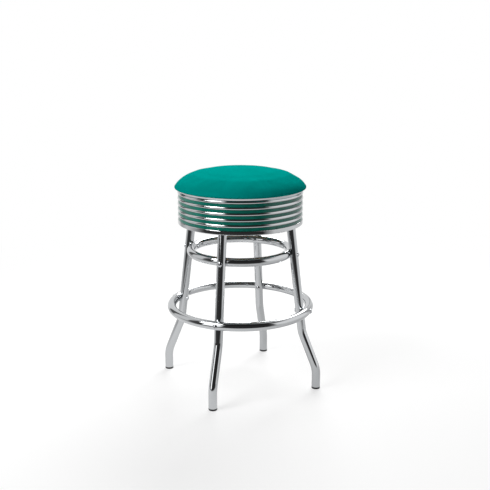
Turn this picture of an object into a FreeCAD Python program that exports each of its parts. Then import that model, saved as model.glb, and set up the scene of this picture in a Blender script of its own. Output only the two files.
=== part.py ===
import FreeCAD, Part
import math
import os
import Sketcher
from FreeCAD import Placement, Rotation, Vector

# A diner counter stool: a padded seat in a ribbed chrome band, turning on a ball-bearing swivel,
# on four bent tube legs that are bolted to an upper ring and a foot ring.
# Lengths are millimetres. The stool stands on z = 0 and turns about the Z axis.
# Each repeated piece is drawn once on the +X side and turned about Z to its places.

doc = FreeCAD.newDocument("diner_counter_stool")
sheet = doc.addObject("Spreadsheet::Sheet", "sizes")


class Size:
    """A length as a number, together with the sheet formula that it comes from."""

    def __init__(self, value, formula):
        self.value = value
        self.formula = formula

    def joined(self, sign, other, work):
        other = other if isinstance(other, Size) else Size(float(other), str(other))
        return Size(work(self.value, other.value), "(" + self.formula + sign + other.formula + ")")

    def __add__(self, other):
        return self.joined(" + ", other, lambda a, b: a + b)

    def __sub__(self, other):
        return self.joined(" - ", other, lambda a, b: a - b)

    def __mul__(self, other):
        return self.joined(" * ", other, lambda a, b: a * b)

    def __truediv__(self, other):
        return self.joined(" / ", other, lambda a, b: a / b)

    def __neg__(self):
        return self * -1


def size(name, value, meaning):
    """Writes one driving size into the sheet and hands back its value and formula."""
    row = str(size.next_row)
    size.next_row += 1
    sheet.set("A" + row, meaning)
    sheet.set("B" + row, str(value))
    sheet.setAlias("B" + row, name)
    return Size(float(value), "sizes." + name)


size.next_row = 1

# Tube legs and rings
tube_diameter = size("tube_diameter", 25.4, "outside diameter of every tube")
tube_wall = size("tube_wall", 1.5, "wall of every tube")
arm_height = size("arm_height", 551.3, "centre of the arms under the swivel")
arm_start = size("arm_start", 28, "inner end of an arm, from the axis")
arm_corner_radius = size("arm_corner_radius", 147.7, "where arm and leg lines meet, from the axis")
splay_top_radius = size("splay_top_radius", 194.2, "where the leg bends outward, from the axis")
splay_top_height = size("splay_top_height", 173.7, "height where the leg bends outward")
foot_circle_radius = size("foot_circle_radius", 240.3, "centre of a foot, from the axis")
splay_end_height = size("splay_end_height", 61.1, "height where the leg bends back to upright")
arm_bend = size("arm_bend", 50, "bend radius between arm and leg, at the tube's centre")
leg_bend = size("leg_bend", 90, "bend radius of the two lower bends, at the tube's centre")
upper_ring_height = size("upper_ring_height", 410, "centre of the upper ring")
foot_ring_height = size("foot_ring_height", 240.4, "centre of the foot ring")
upper_nest = size("upper_nest", 7, "how deep the upper ring sinks into a leg's dent")
foot_nest = size("foot_nest", 4, "how deep the foot ring sinks into a leg's dent")
nest_clearance = size("nest_clearance", 0.1, "gap between a ring and its dent")

# Glides
glide_height = size("glide_height", 6, "part of the glide below the tube's end")
glide_edge = size("glide_edge", 1.5, "rounding of the glide's lower edge")
plug_length = size("plug_length", 16, "part of the glide inside the tube")
plug_clearance = size("plug_clearance", 0.1, "gap between the glide's plug and the tube")

# Through bolts of the rings
ring_hole_radius = size("ring_hole_radius", 4.5, "holes through rings and legs")
ring_bolt_radius = size("ring_bolt_radius", 3, "shank of a ring bolt")
ring_head_radius = size("ring_head_radius", 7, "dome head of a ring bolt or sleeve nut")
ring_head_rise = size("ring_head_rise", 3.4, "height of the dome head above the tube")
ring_head_skirt = size("ring_head_skirt", 1, "straight edge of the dome head")
sleeve_radius = size("sleeve_radius", 4.4, "barrel of a sleeve nut")
sleeve_length = size("sleeve_length", 14, "barrel of a sleeve nut, from the tube's outside")
thread_clearance = size("thread_clearance", 0.05, "gap between a bolt and the nut that holds it")
socket_width = size("socket_width", 4, "hexagon socket, across its flats")
socket_depth = size("socket_depth", 2.2, "hexagon socket, from the top of the dome")

# Swivel
plate_margin = size("plate_margin", 14, "from the outer arm bolts to the plates' edges")
plate_corner = size("plate_corner", 14, "rounded corners of the plates")
plate_thickness = size("plate_thickness", 2.5, "sheet of both swivel plates")
race_radius = size("race_radius", 58, "circle that the balls roll on")
race_width = size("race_width", 12, "width of the raised race")
race_rise = size("race_rise", 2, "height of the raised race")
ball_radius = size("ball_radius", 4, "bearing ball")
ball_clearance = size("ball_clearance", 0.3, "gap between a ball and its race")
track_floor = size("track_floor", 0.2, "lowest line of the balls' track above its plate's sheet")
ball_count = 24
cage_thickness = size("cage_thickness", 1.6, "ball cage")
cage_width = size("cage_width", 15, "ball cage, from inner to outer edge")
cage_clearance = size("cage_clearance", 0.2, "gap between a ball and its hole in the cage")
pivot_radius = size("pivot_radius", 6, "pivot bolt")
pivot_clearance = size("pivot_clearance", 0.05, "running fit of the pivot bolt in the plates")
pivot_nut_width = size("pivot_nut_width", 19, "pivot head and nuts, across their flats")
pivot_head_height = size("pivot_head_height", 6, "hexagon head of the pivot bolt")
jam_nut_height = size("jam_nut_height", 4.5, "jam nut on the lower plate")
lock_nut_height = size("lock_nut_height", 8, "lock nut on top")
pivot_end = size("pivot_end", 1.5, "bolt end beyond the lock nut")
washer_radius = size("washer_radius", 12, "thrust washer")
washer_thickness = size("washer_thickness", 1.5, "thrust washer")
washer_clearance = size("washer_clearance", 0.1, "gap between thrust washer and upper plate")
access_radius = size("access_radius", 7, "hole in the lower plate to reach the plate screws")

# Bolts that hold the arms to the lower plate
arm_bolt_margin = size("arm_bolt_margin", 11, "from an arm bolt to the edge of the race")
arm_bolt_radius = size("arm_bolt_radius", 3, "shank of an arm bolt")
arm_hole_clearance = size("arm_hole_clearance", 0.3, "gap between an arm bolt and its holes")
arm_head_radius = size("arm_head_radius", 6, "pan head of an arm bolt")
arm_head_height = size("arm_head_height", 4, "pan head of an arm bolt")
arm_nut_width = size("arm_nut_width", 10, "arm nut, across its flats")
arm_nut_height = size("arm_nut_height", 4.5, "arm nut")
arm_washer_radius = size("arm_washer_radius", 5.5, "washer under an arm nut")
arm_washer_thickness = size("arm_washer_thickness", 1, "washer under an arm nut")
arm_bolt_end = size("arm_bolt_end", 0.6, "bolt end beyond the arm nut")

# Seat base and its screws
base_thickness = size("base_thickness", 15, "plywood disc")
base_hole_margin = size("base_hole_margin", 8, "from the thrust washer to the plywood's hole")
plate_screw_inset = size("plate_screw_inset", 15, "plate screw, in from the plate's edges")
plate_screw_radius = size("plate_screw_radius", 2.4, "shank of a plate screw")
plate_screw_length = size("plate_screw_length", 13, "plate screw below its head")
plate_screw_head = size("plate_screw_head", 4.8, "radius of a plate screw's head")
plate_screw_head_height = size("plate_screw_head_height", 2.8, "head of a plate screw")
screw_clearance = size("screw_clearance", 0.1, "gap between a screw and its pilot hole")

# Cushion
vinyl = size("vinyl", 1.2, "thickness of the vinyl with its backing")
crown_rise = size("crown_rise", 61.5, "top of the cushion above the plywood")
cushion_overhang = size("cushion_overhang", 9.5, "widest part of the cushion beyond the ribs")
cover_gap = size("cover_gap", 1.8, "gap between the covered plywood and the band")
cushion_bulge_rise = size("cushion_bulge_rise", 4, "widest part above the band's top")
crown_edge_inset = size("crown_edge_inset", 64, "edge of the shallow crown, in from the widest part")
shoulder_bend = size("shoulder_bend", 107.5, "radius of the shoulder's curve")
rim_bend = size("rim_bend", 16, "radius of the rim's curve")
hem_width = size("hem_width", 37.5, "vinyl turned in under the plywood")
staple_inset = size("staple_inset", 9, "staples, from the inner edge of the vinyl")
staple_width = size("staple_width", 11, "crown of a staple")
staple_depth = size("staple_depth", 8, "legs of a staple")
staple_wire = size("staple_wire", 0.9, "wire of a staple")
staple_count = 24

# Band
band_radius = size("band_radius", 184.5, "crests of the ribs")
band_wall = size("band_wall", 1.5, "sheet of the band")
rib_depth = size("rib_depth", 2.5, "crest above the groove's floor")
rib_height = size("rib_height", 8.35, "one rib")
groove_height = size("groove_height", 8.35, "one groove")
groove_count = 5
lip_overhang = size("lip_overhang", 1.5, "outer edge of the flared lip beyond the ribs")
lip_height = size("lip_height", 7, "flared lip above the uppermost rib")
lip_edge = size("lip_edge", 0.7, "rounding of the lip's outer edge")
lip_rise = size("lip_rise", 6, "top of the lip above the plywood")
strip_height = size("strip_height", 12.5, "plain strip at the bottom of the band")
strip_edge = size("strip_edge", 2, "rounding of the plain strip's edges")
ledge_width = size("ledge_width", 22, "ledge that the plywood rests on")
ledge_flange = size("ledge_flange", 10, "upright side of the ledge, welded to the band")
inlay_thickness = size("inlay_thickness", 0.8, "green inlay in a groove")
inlay_clearance = size("inlay_clearance", 0.15, "gap above and below an inlay")
band_screw_count = 8
band_screw_radius = size("band_screw_radius", 2, "shank of a band screw")
band_screw_length = size("band_screw_length", 14, "band screw above its head")
band_screw_head = size("band_screw_head", 4, "radius of a band screw's head")
band_screw_head_height = size("band_screw_head_height", 2.4, "head of a band screw")

# Places that follow from the sizes
tube_radius = tube_diameter / 2
bore_radius = tube_radius - tube_wall
lean = (splay_top_radius - arm_corner_radius) / (arm_height - splay_top_height)


def leg_radius_at(height):
    """Distance from the axis to a leg's centre, on its straight upper run."""
    return arm_corner_radius + (arm_height - height) * lean


upper_leg_radius = leg_radius_at(upper_ring_height)
foot_leg_radius = leg_radius_at(foot_ring_height)
upper_ring_radius = upper_leg_radius - tube_diameter + upper_nest
foot_ring_radius = foot_leg_radius + tube_diameter - foot_nest

arm_bolt_inner = race_radius - race_width / 2 - arm_bolt_margin
arm_bolt_outer = race_radius + race_width / 2 + arm_bolt_margin
plate_half = arm_bolt_outer + plate_margin
plate_gap = (ball_radius + ball_clearance + track_floor) * 2
lower_plate_bottom = arm_height + tube_radius
lower_plate_top = lower_plate_bottom + plate_thickness
ball_height = lower_plate_top + plate_gap / 2
upper_plate_bottom = lower_plate_top + plate_gap
base_bottom = upper_plate_bottom + plate_thickness
base_top = base_bottom + base_thickness
crown_top = base_top + crown_rise
hem_bottom = base_bottom - vinyl
ledge_bottom = hem_bottom - band_wall
band_top = base_top + lip_rise
groove_floor = band_radius - rib_depth
band_inside = groove_floor - band_wall
ribs_top = band_top - lip_height
ribs_bottom = ribs_top - (rib_height + groove_height) * groove_count
band_bottom = ribs_bottom - strip_height
band_screw_circle = band_inside - ledge_width / 2
lip_radius = band_radius + lip_overhang
base_radius = band_inside - cover_gap - vinyl
base_hole_radius = washer_radius + base_hole_margin
hem_inner_radius = base_radius - hem_width
staple_circle = hem_inner_radius + staple_inset
cushion_radius = band_radius + cushion_overhang
crown_edge_radius = cushion_radius - crown_edge_inset
plate_screw_offset = plate_half - plate_screw_inset
arm_hole_radius = arm_bolt_radius + arm_hole_clearance

sub_parts = []


def bind(thing, **properties):
    """Ties properties to sheet formulas; a double underscore in a name stands for a dot."""
    for name, length in properties.items():
        thing.setExpression(name.replace("__", "."), length.formula)
    return thing


def add(kind, name, **properties):
    """A new object of the document, with its sizes tied to the sheet."""
    return bind(doc.addObject(kind, name), **properties)


def node(thing, label, turn=0):
    """Names a finished sub-part and turns it about the stool's axis to its place."""
    thing.Label = label
    thing.Placement = Placement(Vector(0, 0, 0), Rotation(Vector(0, 0, 1), turn))
    sub_parts.append(thing)
    return thing


def new_sketch(body, plane, offset=None):
    """A sketch on one of the body's own planes, moved along the plane's normal where asked."""
    sketch = body.newObject("Sketcher::SketchObject", body.Name + "_sketch")
    support = [feature for feature in body.Origin.OriginFeatures if feature.Role == plane][0]
    sketch.AttachmentSupport = [(support, "")]
    sketch.MapMode = "FlatFace"
    if offset is not None:
        bind(sketch, AttachmentOffset__Base__z=offset)
    return sketch


def tie(sketch, kind, *where_and_length):
    """One measured constraint of a sketch, tied to the sheet."""
    *where, length = where_and_length
    index = sketch.addConstraint(Sketcher.Constraint(kind, *where, length.value))
    sketch.setExpression("Constraints[" + str(index) + "]", length.formula)


def tie_point(sketch, geometry, end, across, up):
    """Fixes a point by its distances from the sketch's origin; None lies on that axis."""
    if across is None:
        sketch.addConstraint(Sketcher.Constraint("PointOnObject", geometry, end, -2))
    else:
        tie(sketch, "DistanceX", -1, 1, geometry, end, across)
    if up is None:
        sketch.addConstraint(Sketcher.Constraint("PointOnObject", geometry, end, -1))
    else:
        tie(sketch, "DistanceY", -1, 1, geometry, end, up)


def spot(across, up):
    """A corner of an outline as a plain vector."""
    return Vector(across.value if across else 0, up.value if up else 0, 0)


def circle(sketch, across, up, radius):
    """A circle with its centre and radius tied to the sheet."""
    flat = Part.Circle(spot(across, up), Vector(0, 0, 1), radius.value)
    index = sketch.addGeometry(flat)
    tie_point(sketch, index, 3, across, up)
    tie(sketch, "Radius", index, radius)


def outline(sketch, corners):
    """A closed outline. A corner is (across, up), or (across, up, radius, turn) where an arc leaves it.

    A turn of 1 runs anticlockwise to the next corner and -1 clockwise.
    """
    edges = []
    for corner, following in zip(corners, corners[1:] + corners[:1]):
        start = spot(*corner[:2])
        finish = spot(*following[:2])
        if len(corner) == 2:
            index = sketch.addGeometry(Part.LineSegment(start, finish))
            edges.append((index, 1, 2))
            continue
        radius, turn = corner[2:]
        half = (finish - start) * 0.5
        rise = math.sqrt(max(radius.value ** 2 - half.Length ** 2, 0))
        sideways = Vector(-half.y, half.x, 0).normalize()
        centre = start + half + sideways * rise * turn
        first, last = (start, finish) if turn > 0 else (finish, start)
        begin = math.atan2(first.y - centre.y, first.x - centre.x)
        end = math.atan2(last.y - centre.y, last.x - centre.x)
        ring = Part.Circle(centre, Vector(0, 0, 1), radius.value)
        index = sketch.addGeometry(Part.ArcOfCircle(ring, begin, end))
        tie(sketch, "Radius", index, radius)
        edges.append((index, 1, 2) if turn > 0 else (index, 2, 1))
    for number, (index, start_end, finish_end) in enumerate(edges):
        before, _, before_end = edges[number - 1]
        sketch.addConstraint(Sketcher.Constraint("Coincident", before, before_end, index, start_end))
        tie_point(sketch, index, start_end, *corners[number][:2])


def revolved(name, corners):
    """A body made by turning an outline in the XZ plane about the stool's axis."""
    body = doc.addObject("PartDesign::Body", name)
    sketch = new_sketch(body, "XZ_Plane")
    outline(sketch, corners)
    return revolve(body, sketch)


def revolve(body, sketch):
    """Turns a sketch about the sketch's upright axis, which is the stool's axis."""
    turned = body.newObject("PartDesign::Revolution", body.Name + "_turned")
    turned.Profile = sketch
    turned.ReferenceAxis = (sketch, ["V_Axis"])
    turned.Angle = 360
    return body


def hollow_ring(label, radius, height):
    """A tube bent to a full circle, with four radial holes for its bolts."""
    body = doc.addObject("PartDesign::Body", label)
    section = new_sketch(body, "XZ_Plane")
    circle(section, radius, height, tube_radius)
    circle(section, radius, height, bore_radius)
    revolve(body, section)
    for plane in ("YZ_Plane", "XZ_Plane"):
        drill = new_sketch(body, plane)
        circle(drill, None, height, ring_hole_radius)
        cut_both_ways(body, drill)
    return node(body, label)


def cut_both_ways(body, sketch):
    """Cuts a sketch right through the body, to both sides of its plane."""
    pocket = body.newObject("PartDesign::Pocket", body.Name + "_hole")
    pocket.Profile = sketch
    pocket.Type = "ThroughAll"
    pocket.Midplane = True
    return pocket


def around(name, master, count, start=0):
    """Copies of one solid, turned about the stool's axis, as one group."""
    copies = []
    for number in range(count):
        copy = doc.addObject("App::Link", name + "_copy")
        copy.LinkedObject = master
        copy.LinkTransform = True
        turn = Rotation(Vector(0, 0, 1), start + 360 * number / count)
        copy.Placement = Placement(Vector(0, 0, 0), turn)
        copies.append(copy)
    group = doc.addObject("Part::Compound", name)
    group.Links = copies
    return group


def cut(name, base, tool):
    """One solid with another taken away."""
    result = doc.addObject("Part::Cut", name)
    result.Base = base
    result.Tool = tool
    return result


def fuse(name, *shapes):
    """Several solids joined as one."""
    result = doc.addObject("Part::MultiFuse", name)
    result.Shapes = list(shapes)
    return result


def group_of(name, *shapes):
    """Several solids kept apart in one group."""
    result = doc.addObject("Part::Compound", name)
    result.Links = list(shapes)
    return result


def upright(name, radius, height, bottom, across=None):
    """An upright cylinder on the axis, or on the +X side where across says how far out."""
    pin = add("Part::Cylinder", name, Radius=radius, Height=height, Placement__Base__z=bottom)
    return bind(pin, Placement__Base__x=across) if across else pin


def hexagon(name, width, height, bottom, across=None):
    """An upright hexagonal prism, measured across its flats, placed as an upright cylinder is."""
    prism = add("Part::Prism", name, Circumradius=width / math.sqrt(3), Height=height,
                Placement__Base__z=bottom)
    prism.Polygon = 6
    return bind(prism, Placement__Base__x=across) if across else prism


def lying(name, radius, height, start, length):
    """A horizontal cylinder along +X at a height above the floor."""
    rod = add("Part::Cylinder", name, Radius=radius, Height=length,
              Placement__Base__x=start, Placement__Base__z=height)
    rod.Placement.Rotation = Rotation(Vector(0, 1, 0), 90)
    return rod


def ring_solid(name, radius, section_radius, height):
    """The solid that a ring of tube fills, or a little more where it has to clear."""
    return add("Part::Torus", name, Radius1=radius, Radius2=section_radius, Placement__Base__z=height)


# Legs: one tube each, bent inward on top to an arm under the swivel and bent twice towards the foot


def leg_path(body):
    """The tube's centre line in the XZ plane, from the foot up and in along the arm."""
    sketch = new_sketch(body, "XZ_Plane")
    corners = [
        (foot_circle_radius, splay_end_height, leg_bend),
        (splay_top_radius, splay_top_height, leg_bend),
        (arm_corner_radius, arm_height, arm_bend),
    ]
    ends = [(foot_circle_radius, glide_height), (arm_start, arm_height)]
    points = [spot(*ends[0])] + [spot(*corner[:2]) for corner in corners] + [spot(*ends[1])]
    lines = []
    arcs = []
    start = points[0]
    for before, corner, after, (_, _, bend) in zip(points, points[1:], points[2:], corners):
        back = (before - corner).normalize()
        on = (after - corner).normalize()
        half_angle = back.getAngle(on) / 2
        reach = bend.value / math.tan(half_angle)
        entry = corner + back * reach
        leave = corner + on * reach
        centre = corner + (back + on).normalize() * (bend.value / math.sin(half_angle))
        lines.append(sketch.addGeometry(Part.LineSegment(start, entry)))
        middle = centre + (corner - centre).normalize() * bend.value
        arcs.append(sketch.addGeometry(Part.Arc(entry, middle, leave)))
        start = leave
    lines.append(sketch.addGeometry(Part.LineSegment(start, points[-1])))
    tie_point(sketch, lines[0], 1, *ends[0])
    tie_point(sketch, lines[-1], 2, *ends[1])
    for number, (across, up, bend) in enumerate(corners):
        entry_line, arc, leave_line = lines[number], arcs[number], lines[number + 1]
        entry = sketch.getPoint(entry_line, 2)
        entry_end = 1 if sketch.getPoint(arc, 1).distanceToPoint(entry) < 0.001 else 2
        sketch.addConstraint(Sketcher.Constraint("Tangent", entry_line, 2, arc, entry_end))
        sketch.addConstraint(Sketcher.Constraint("Tangent", leave_line, 1, arc, 3 - entry_end))
        tie(sketch, "Radius", arc, bend)
        meeting = sketch.addGeometry(Part.Point(spot(across, up)), True)
        tie_point(sketch, meeting, 1, across, up)
        sketch.addConstraint(Sketcher.Constraint("PointOnObject", meeting, 1, entry_line))
        sketch.addConstraint(Sketcher.Constraint("PointOnObject", meeting, 1, leave_line))
    return sketch


def bent_rod(name, radius):
    """A solid rod of the given radius along the leg's centre line."""
    body = doc.addObject("PartDesign::Body", name)
    path = leg_path(body)
    section = new_sketch(body, "XY_Plane", glide_height)
    circle(section, foot_circle_radius, None, radius)
    pipe = body.newObject("PartDesign::AdditivePipe", name + "_pipe")
    pipe.Profile = section
    pipe.Spine = path
    return body


def ring_dents(name, growth):
    """Both rings as solids, grown by their clearance and a wall where asked."""
    radius = tube_radius + growth
    upper = ring_solid(name + "_upper", upper_ring_radius, radius, upper_ring_height)
    lower = ring_solid(name + "_lower", foot_ring_radius, radius, foot_ring_height)
    return fuse(name, upper, lower)


def leg(label, turn):
    """One leg: bent tube, dents for both rings, and its bolt holes."""
    rod = bent_rod(label + "_rod", tube_radius)
    bore = bent_rod(label + "_bore", bore_radius)
    dented_rod = cut(label + "_dented", rod, ring_dents(label + "_dents", nest_clearance))
    inner_dents = ring_dents(label + "_inner_dents", nest_clearance + tube_wall)
    hollow = cut(label + "_hollow", bore, inner_dents)
    across_tube = tube_diameter * 2
    holes = fuse(
        label + "_holes",
        lying(label + "_upper_hole", ring_hole_radius, upper_ring_height,
              upper_leg_radius - tube_diameter, across_tube),
        lying(label + "_lower_hole", ring_hole_radius, foot_ring_height,
              foot_leg_radius - tube_diameter, across_tube),
        upright(label + "_inner_hole", arm_hole_radius, across_tube,
                arm_height - tube_diameter, arm_bolt_inner),
        upright(label + "_outer_hole", arm_hole_radius, across_tube,
                arm_height - tube_diameter, arm_bolt_outer),
    )
    tube = cut(label + "_tube", dented_rod, hollow)
    return node(cut(label, tube, holes), label, turn)


sides = {"right": 0, "back": 90, "left": 180, "front": 270}

for side, turn in sides.items():
    leg("leg_" + side, turn)


# Glides: black plugs pushed into the feet, flush with the tube outside

for side, turn in sides.items():
    body = doc.addObject("PartDesign::Body", "glide_" + side)
    pad_sketch = new_sketch(body, "XY_Plane")
    circle(pad_sketch, foot_circle_radius, None, tube_radius)
    disc = body.newObject("PartDesign::Pad", "glide_disc")
    disc.Profile = pad_sketch
    bind(disc, Length=glide_height)
    plug_sketch = new_sketch(body, "XY_Plane", glide_height)
    circle(plug_sketch, foot_circle_radius, None, bore_radius - plug_clearance)
    plug = body.newObject("PartDesign::Pad", "glide_plug")
    plug.Profile = plug_sketch
    bind(plug, Length=plug_length)
    doc.recompute()
    lowest = min(plug.Shape.Edges, key=lambda edge: edge.CenterOfMass.z)
    lowest_name = "Edge" + str([edge.isSame(lowest) for edge in plug.Shape.Edges].index(True) + 1)
    rounding = body.newObject("PartDesign::Fillet", "glide_rounding")
    rounding.Base = (plug, [lowest_name])
    bind(rounding, Radius=glide_edge)
    node(body, "glide_" + side, turn)


# Rings: the upper one inside the legs, the foot ring outside them

hollow_ring("upper_ring", upper_ring_radius, upper_ring_height)
hollow_ring("foot_ring", foot_ring_radius, foot_ring_height)


# Ring bolts and sleeve nuts: dome heads on both faces of each crossing, seated on the curved tubes


def dome_head(name, height, face, outward):
    """A dome head along X with a hexagon socket, its skirt running back over the tube's curve.

    The dome stands on the tube's crest at the distance face from the axis.
    """
    body = doc.addObject("PartDesign::Body", name)
    sketch = new_sketch(body, "XY_Plane", height)
    way = 1 if outward else -1
    back = face - ring_head_radius / 2 * way
    edge = face + ring_head_skirt * way
    crest = face + ring_head_rise * way
    bulge = ring_head_rise - ring_head_skirt
    dome = (ring_head_radius * ring_head_radius + bulge * bulge) / (bulge * 2)
    outline(sketch, [
        (back, None),
        (crest, None, dome, way),
        (edge, ring_head_radius),
        (back, ring_head_radius),
    ])
    turned = body.newObject("PartDesign::Revolution", name + "_turned")
    turned.Profile = sketch
    turned.ReferenceAxis = (sketch, ["H_Axis"])
    turned.Angle = 360
    socket_start = crest - socket_depth if outward else crest
    socket = hexagon(name + "_socket", socket_width, socket_depth, height, socket_start)
    socket.Placement.Rotation = Rotation(Vector(0, 1, 0), 90)
    return cut(name + "_socketed", body, socket)


leg_blank = bent_rod("leg_blank", tube_radius)
upper_ring_blank = ring_solid("upper_ring_blank", upper_ring_radius, tube_radius, upper_ring_height)
foot_ring_blank = ring_solid("foot_ring_blank", foot_ring_radius, tube_radius, foot_ring_height)


def crossing(name, height, inner_face, outer_face, inner_tube, outer_tube):
    """The bolt and the sleeve nut through one crossing of ring and leg, four times about the axis.

    The bolt's head is on the outer face and the sleeve nut's on the inner face.
    """
    bolt_start = inner_face + sleeve_length / 2
    bolt_head = cut(name + "_bolt_seat", dome_head(name + "_bolt_head", height, outer_face, True),
                    outer_tube)
    shank = lying(name + "_shank", ring_bolt_radius, height, bolt_start,
                  outer_face - bolt_start)
    bolt = fuse(name + "_bolt", bolt_head, shank)
    node(around(name + "_bolts", bolt, len(sides)), name + "_bolts")
    nut_head = cut(name + "_nut_seat", dome_head(name + "_nut_head", height, inner_face, False),
                   inner_tube)
    barrel = lying(name + "_barrel", sleeve_radius, height, inner_face, sleeve_length)
    thread = lying(name + "_thread", ring_bolt_radius + thread_clearance, height,
                   inner_face + ring_head_skirt, sleeve_length)
    nut = cut(name + "_nut", fuse(name + "_nut_blank", nut_head, barrel), thread)
    node(around(name + "_sleeve_nuts", nut, len(sides)), name + "_sleeve_nuts")


crossing("upper_ring", upper_ring_height, upper_ring_radius - tube_radius,
         upper_leg_radius + tube_radius, upper_ring_blank, leg_blank)
crossing("foot_ring", foot_ring_height, foot_leg_radius - tube_radius,
         foot_ring_radius + tube_radius, leg_blank, foot_ring_blank)


# Swivel plates: square pressed plates, each with a raised race for the balls


def swivel_plate(label, bottom, race_bottom, race_top):
    """A square plate with rounded corners, a raised race and a groove that the balls run in."""
    body = doc.addObject("PartDesign::Body", label)
    square = new_sketch(body, "XY_Plane", bottom)
    straight = plate_half - plate_corner
    outline(square, [
        (straight, plate_half, plate_corner, -1),
        (plate_half, straight),
        (plate_half, -straight, plate_corner, -1),
        (straight, -plate_half),
        (-straight, -plate_half, plate_corner, -1),
        (-plate_half, -straight),
        (-plate_half, straight, plate_corner, -1),
        (-straight, plate_half),
    ])
    sheet_pad = body.newObject("PartDesign::Pad", label + "_sheet")
    sheet_pad.Profile = square
    bind(sheet_pad, Length=plate_thickness)
    race = new_sketch(body, "XZ_Plane")
    inner = race_radius - race_width / 2
    outer = race_radius + race_width / 2
    outline(race, [(inner, race_bottom), (outer, race_bottom), (outer, race_top), (inner, race_top)])
    revolve(body, race)
    doc.recompute()
    before = body.Shape.Volume
    track = new_sketch(body, "XZ_Plane")
    circle(track, race_radius, ball_height, ball_radius + ball_clearance)
    groove = body.newObject("PartDesign::Groove", label + "_track")
    groove.Profile = track
    groove.ReferenceAxis = (track, ["V_Axis"])
    groove.Angle = 360
    pivot_hole = new_sketch(body, "XY_Plane")
    circle(pivot_hole, None, None, pivot_radius + pivot_clearance)
    cut_both_ways(body, pivot_hole)
    doc.recompute()
    if body.Shape.Volume >= before:
        raise RuntimeError(label + ": the track or the pivot hole cut nothing")
    return body


race_start = plate_thickness / 2
lower_plate = swivel_plate("swivel_lower_plate", lower_plate_bottom,
                           lower_plate_top - race_start, lower_plate_top + race_rise)
upper_plate = swivel_plate("swivel_upper_plate", upper_plate_bottom,
                           upper_plate_bottom - race_rise, upper_plate_bottom + race_start)

arm_holes = new_sketch(lower_plate, "XY_Plane")
for reach in (arm_bolt_inner, arm_bolt_outer):
    circle(arm_holes, reach, None, arm_hole_radius)
    circle(arm_holes, -reach, None, arm_hole_radius)
    circle(arm_holes, None, reach, arm_hole_radius)
    circle(arm_holes, None, -reach, arm_hole_radius)
circle(arm_holes, plate_screw_offset, plate_screw_offset, access_radius)
cut_both_ways(lower_plate, arm_holes)
node(lower_plate, "swivel_lower_plate")

screw_holes = new_sketch(upper_plate, "XY_Plane")
for across in (plate_screw_offset, -plate_screw_offset):
    for along in (plate_screw_offset, -plate_screw_offset):
        circle(screw_holes, across, along, plate_screw_radius + screw_clearance)
cut_both_ways(upper_plate, screw_holes)
node(upper_plate, "swivel_upper_plate")


# Arm bolts: pan heads under the arms, washers and nuts on the lower plate


def arm_fixing(name, reach):
    """Bolt, washer and nut through one place of an arm."""
    under = arm_height - tube_radius
    head_block = upright(name + "_head", arm_head_radius, arm_head_height * 2,
                         under - arm_head_height, reach)
    head = cut(name + "_seat", head_block, leg_blank)
    nut_bottom = lower_plate_top + arm_washer_thickness
    top = nut_bottom + arm_nut_height + arm_bolt_end
    shank = upright(name + "_shank", arm_bolt_radius, top - under, under, reach)
    bolt = fuse(name + "_bolt", head, shank)
    hole_radius = arm_bolt_radius + thread_clearance
    hole = upright(name + "_thread", hole_radius, top - under, under, reach)
    washer = cut(name + "_washer",
                 upright(name + "_washer_disc", arm_washer_radius, arm_washer_thickness,
                         lower_plate_top, reach), hole)
    nut = cut(name + "_nut",
              hexagon(name + "_hexagon", arm_nut_width, arm_nut_height, nut_bottom, reach), hole)
    return bolt, washer, nut


inner_fixing = arm_fixing("inner_arm", arm_bolt_inner)
outer_fixing = arm_fixing("outer_arm", arm_bolt_outer)
for label, inner_piece, outer_piece in zip(("arm_bolts", "arm_washers", "arm_nuts"),
                                           inner_fixing, outer_fixing):
    inner_set = around(label + "_inner", inner_piece, len(sides))
    outer_set = around(label + "_outer", outer_piece, len(sides))
    node(group_of(label, inner_set, outer_set), label)


# Pivot: bolt up through both plates, clamped to the lower plate by a jam nut

washer_bottom = upper_plate_bottom + plate_thickness + washer_clearance
lock_nut_bottom = washer_bottom + washer_thickness
pivot_head_bottom = lower_plate_bottom - pivot_head_height
pivot_top = lock_nut_bottom + lock_nut_height + pivot_end

pivot_head = hexagon("pivot_head", pivot_nut_width, pivot_head_height, pivot_head_bottom)
pivot_shank = upright("pivot_shank", pivot_radius, pivot_top - lower_plate_bottom,
                      lower_plate_bottom)
node(fuse("pivot_bolt", pivot_head, pivot_shank), "pivot_bolt")
pivot_bore = upright("pivot_bore", pivot_radius + pivot_clearance, pivot_top - pivot_head_bottom,
                     pivot_head_bottom)
jam_nut = hexagon("jam_hexagon", pivot_nut_width, jam_nut_height, lower_plate_top)
node(cut("pivot_jam_nut", jam_nut, pivot_bore), "pivot_jam_nut")
washer = upright("washer_disc", washer_radius, washer_thickness, washer_bottom)
node(cut("pivot_washer", washer, pivot_bore), "pivot_washer")
lock_nut = hexagon("lock_hexagon", pivot_nut_width, lock_nut_height, lock_nut_bottom)
node(cut("pivot_lock_nut", lock_nut, pivot_bore), "pivot_lock_nut")


# Ball cage and balls: they roll between the two races at half the seat's speed

cage_blank = revolved("cage_blank", [
    (race_radius - cage_width / 2, ball_height - cage_thickness / 2),
    (race_radius + cage_width / 2, ball_height - cage_thickness / 2),
    (race_radius + cage_width / 2, ball_height + cage_thickness / 2),
    (race_radius - cage_width / 2, ball_height + cage_thickness / 2),
])
cage_hole = upright("cage_hole", ball_radius + cage_clearance, ball_radius * 2,
                    ball_height - ball_radius, race_radius)
node(cut("swivel_ball_cage", cage_blank, around("cage_holes", cage_hole, ball_count)),
     "swivel_ball_cage")
ball = add("Part::Sphere", "ball", Radius=ball_radius, Placement__Base__x=race_radius,
           Placement__Base__z=ball_height)
node(around("swivel_balls", ball, ball_count), "swivel_balls")


# Seat base: a plywood disc with pilot holes for its screws and a hole over the pivot nut

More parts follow.
